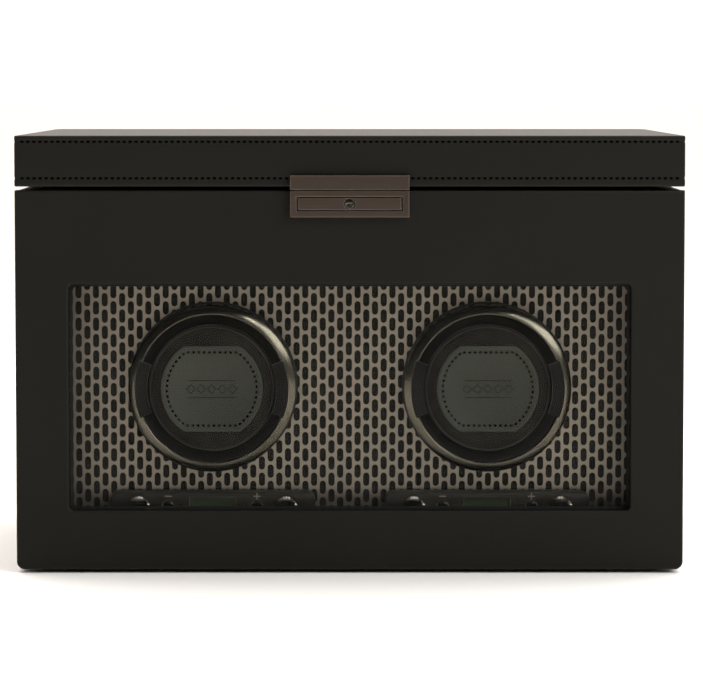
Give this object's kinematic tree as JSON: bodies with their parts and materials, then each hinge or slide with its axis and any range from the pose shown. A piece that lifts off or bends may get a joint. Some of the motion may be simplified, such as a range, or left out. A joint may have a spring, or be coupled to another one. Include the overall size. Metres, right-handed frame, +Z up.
{
  "type": "watch winder box",
  "caption": "Leather-covered watch winder box with a glazed drop-down door, turning watch drums with cuffs, control panels, and a hinged lid over a storage tray.",
  "frame": {"origin": "on the surface the box stands on, under the middle of its bounding box", "axes": "+X to the right seen from the front, +Y from the front to the back, +Z up"},
  "size_m": [0.342, 0.225, 0.225],
  "materials": {
    "leather_case": "fine-grained black leather over board",
    "leather_cushion": "smooth dark grey leather",
    "suede_lining": "dark microfibre suede",
    "black_felt": "felt",
    "champagne_metal": "satin champagne grey",
    "gunmetal": "satin brown gunmetal plating",
    "dark_chrome": "polished dark chrome",
    "steel": "plain",
    "brass": "plain",
    "rubber": "matte",
    "black_plastic": "satin",
    "panel_plastic": "satin dark grey",
    "gloss_plastic": "polished black",
    "lcd": "unlit display behind a clear cover",
    "window_glass": "clear"
  },
  "bodies": {
    "case": {"base_board": "leather_case", "left_board": "leather_case", "right_board": "leather_case", "back_board": "leather_case", "base_felt": "black_felt", "power_socket": "black_plastic", "storage_tray": "suede_lining", "watch_cushion_left": "leather_cushion", "watch_cushion_middle": "leather_cushion", "watch_cushion_right": "leather_cushion", "fascia_panel": "champagne_metal", "door_pivot_left": "steel", "door_pivot_right": "steel", "hinge_case_leaf": "gunmetal", "left_module_housing": "black_plastic", "left_spindle_bush": "brass", "left_motor": "steel", "left_drive_belt": "rubber", "left_control_panel": "panel_plastic", "left_lcd_window": "lcd", "right_module_housing": "black_plastic", "right_spindle_bush": "brass", "right_motor": "steel", "right_drive_belt": "rubber", "right_control_panel": "panel_plastic", "right_lcd_window": "lcd"},
    "door": {"door_panel": "leather_case", "door_glass": "window_glass", "latch_door_plate": "gunmetal", "lock_sleeve": "brass"},
    "latch_button": {"push_bar": "gunmetal"},
    "lock_key": {"key_cylinder": "dark_chrome"},
    "lid": {"lid_shell": "leather_case", "lid_lining": "suede_lining", "hinge_lid_leaf": "gunmetal", "latch_lid_plate": "gunmetal"},
    "left_drum": {"left_drum_cup": "suede_lining", "left_drum_bezel": "dark_chrome", "left_drum_spindle": "steel", "left_cuff_pillow": "suede_lining", "left_cuff_patch": "leather_cushion"},
    "left_tab_outer": {"left_cuff_tab_outer": "black_plastic"},
    "left_tab_inner": {"left_cuff_tab_inner": "black_plastic"},
    "left_motor_shaft": {"left_motor_pulley": "black_plastic"},
    "left_mode": {"left_mode_knob": "gloss_plastic"},
    "left_turns": {"left_turns_knob": "gloss_plastic"},
    "left_minus": {"left_minus_button": "gloss_plastic"},
    "left_plus": {"left_plus_button": "gloss_plastic"},
    "right_drum": {"right_drum_cup": "suede_lining", "right_drum_bezel": "dark_chrome", "right_drum_spindle": "steel", "right_cuff_pillow": "suede_lining", "right_cuff_patch": "leather_cushion"},
    "right_tab_outer": {"right_cuff_tab_outer": "black_plastic"},
    "right_tab_inner": {"right_cuff_tab_inner": "black_plastic"},
    "right_motor_shaft": {"right_motor_pulley": "black_plastic"},
    "right_mode": {"right_mode_knob": "gloss_plastic"},
    "right_turns": {"right_turns_knob": "gloss_plastic"},
    "right_minus": {"right_minus_button": "gloss_plastic"},
    "right_plus": {"right_plus_button": "gloss_plastic"}
  },
  "joints": [
    {"name": "lid_hinge", "type": "hinge", "parent": "case", "child": "lid", "pos_m": [0, 0.1103, 0.1975], "axis": [-1, 0, 0], "range_deg": [0, 100]},
    {"name": "door_hinge", "type": "hinge", "parent": "case", "child": "door", "pos_m": [0, -0.104, 0.0052], "axis": [1, 0, 0], "range_deg": [0, 88.5]},
    {"name": "push_bar_press", "type": "slide", "parent": "door", "child": "latch_button", "axis": [0, 1, 0], "range_m": [0, 0.0012], "stiffness_N_per_m": 300, "springref_m": -0.001},
    {"name": "key_turn", "type": "hinge", "parent": "latch_button", "child": "lock_key", "pos_m": [0, -0.11, 0.18985], "axis": [0, 1, 0], "range_deg": [0, 90]},
    {"name": "left_drum_spin", "type": "hinge", "parent": "case", "child": "left_drum", "pos_m": [-0.0715, 0, 0.093], "axis": [0, 1, 0], "continuous": true},
    {"name": "left_motor_spin", "type": "hinge", "parent": "case", "child": "left_motor_shaft", "pos_m": [-0.0715, 0, 0.031], "axis": [0, 1, 0], "continuous": true},
    {"name": "left_tab_outer_squeeze", "type": "slide", "parent": "left_drum", "child": "left_tab_outer", "axis": [1, 0, 0], "range_m": [0, 0.0016], "stiffness_N_per_m": 150, "springref_m": -0.001},
    {"name": "left_tab_inner_squeeze", "type": "slide", "parent": "left_drum", "child": "left_tab_inner", "axis": [-1, 0, 0], "range_m": [0, 0.0016], "stiffness_N_per_m": 150, "springref_m": -0.001},
    {"name": "left_mode_turn", "type": "hinge", "parent": "case", "child": "left_mode", "pos_m": [-0.1098, 0, 0.031], "axis": [0, 1, 0], "range_deg": [-60, 60]},
    {"name": "left_turns_turn", "type": "hinge", "parent": "case", "child": "left_turns", "pos_m": [-0.0332, 0, 0.031], "axis": [0, 1, 0], "range_deg": [-135, 135]},
    {"name": "left_minus_press", "type": "slide", "parent": "case", "child": "left_minus", "axis": [0, 1, 0], "range_m": [0, 0.001], "stiffness_N_per_m": 150, "springref_m": -0.001},
    {"name": "left_plus_press", "type": "slide", "parent": "case", "child": "left_plus", "axis": [0, 1, 0], "range_m": [0, 0.001], "stiffness_N_per_m": 150, "springref_m": -0.001},
    {"name": "right_drum_spin", "type": "hinge", "parent": "case", "child": "right_drum", "pos_m": [0.0715, 0, 0.093], "axis": [0, 1, 0], "continuous": true},
    {"name": "right_motor_spin", "type": "hinge", "parent": "case", "child": "right_motor_shaft", "pos_m": [0.0715, 0, 0.031], "axis": [0, 1, 0], "continuous": true},
    {"name": "right_tab_outer_squeeze", "type": "slide", "parent": "right_drum", "child": "right_tab_outer", "axis": [-1, 0, 0], "range_m": [0, 0.0016], "stiffness_N_per_m": 150, "springref_m": -0.001},
    {"name": "right_tab_inner_squeeze", "type": "slide", "parent": "right_drum", "child": "right_tab_inner", "axis": [1, 0, 0], "range_m": [0, 0.0016], "stiffness_N_per_m": 150, "springref_m": -0.001},
    {"name": "right_mode_turn", "type": "hinge", "parent": "case", "child": "right_mode", "pos_m": [0.0332, 0, 0.031], "axis": [0, 1, 0], "range_deg": [-60, 60]},
    {"name": "right_turns_turn", "type": "hinge", "parent": "case", "child": "right_turns", "pos_m": [0.1098, 0, 0.031], "axis": [0, 1, 0], "range_deg": [-135, 135]},
    {"name": "right_minus_press", "type": "slide", "parent": "case", "child": "right_minus", "axis": [0, 1, 0], "range_m": [0, 0.001], "stiffness_N_per_m": 150, "springref_m": -0.001},
    {"name": "right_plus_press", "type": "slide", "parent": "case", "child": "right_plus", "axis": [0, 1, 0], "range_m": [0, 0.001], "stiffness_N_per_m": 150, "springref_m": -0.001}
  ],
  "couplings": [
    {"joint": "left_motor_spin", "follows": "left_drum_spin", "ratio": 4.6111},
    {"joint": "right_motor_spin", "follows": "right_drum_spin", "ratio": 4.6111}
  ]
}
